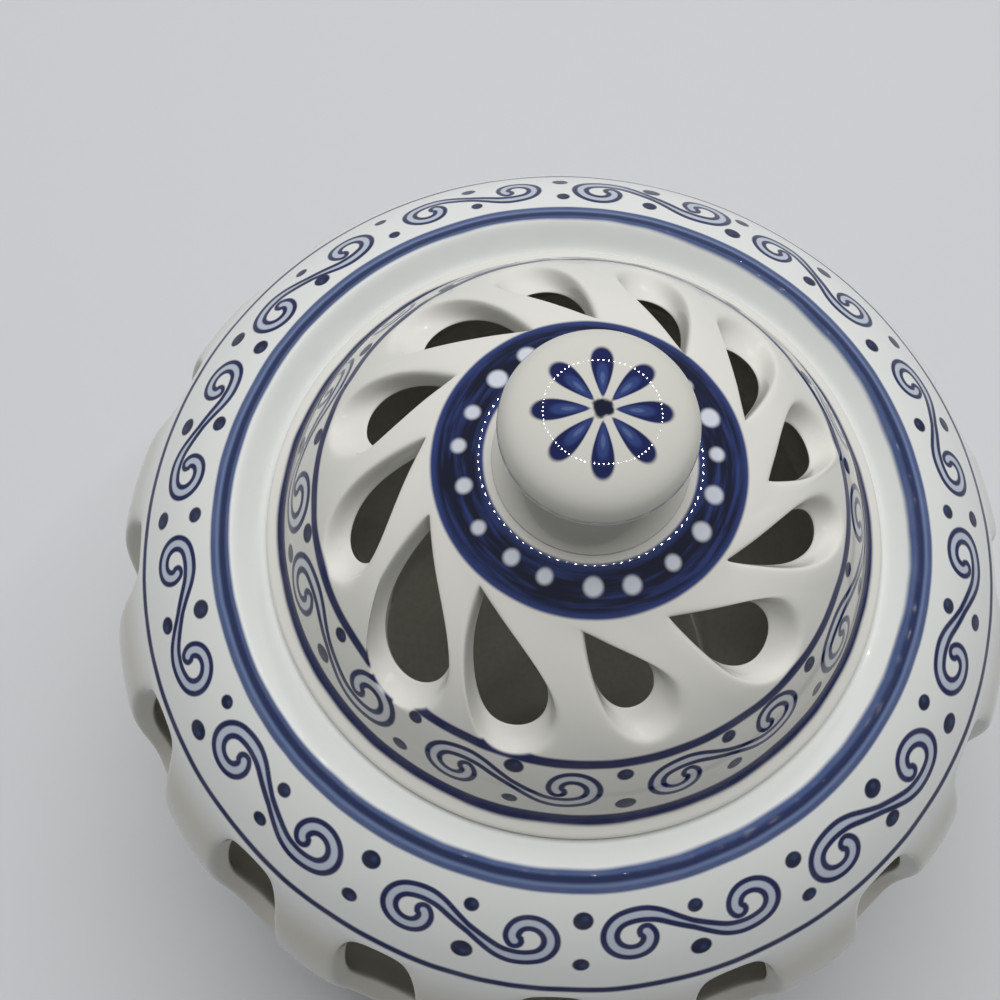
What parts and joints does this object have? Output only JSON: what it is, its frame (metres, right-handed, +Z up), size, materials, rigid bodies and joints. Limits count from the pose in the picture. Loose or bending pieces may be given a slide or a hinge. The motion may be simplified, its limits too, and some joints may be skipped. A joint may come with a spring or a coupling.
{
  "type": "potpourri vase",
  "caption": "Round porcelain vase for potpourri, pierced round the belly, with a pierced domed lid that lifts off by a button knob; white glaze with cobalt scroll bands.",
  "frame": {"origin": "centre of the foot ring on the table", "axes": "+Z up along the axis of the vase, -Y towards the near side of the picture"},
  "size_m": [0.146, 0.146, 0.1456],
  "materials": {
    "body_glaze": "gloss",
    "lid_glaze": "gloss",
    "knob_glaze": "gloss"
  },
  "bodies": {
    "vase": {"vase_body": "body_glaze"},
    "lid": {"lid": "lid_glaze", "knob": "knob_glaze"}
  },
  "joints": [
    {"name": "lid_lift", "type": "slide", "parent": "vase", "child": "lid", "axis": [0, 0, 1], "range_m": [0, 0.08]}
  ]
}
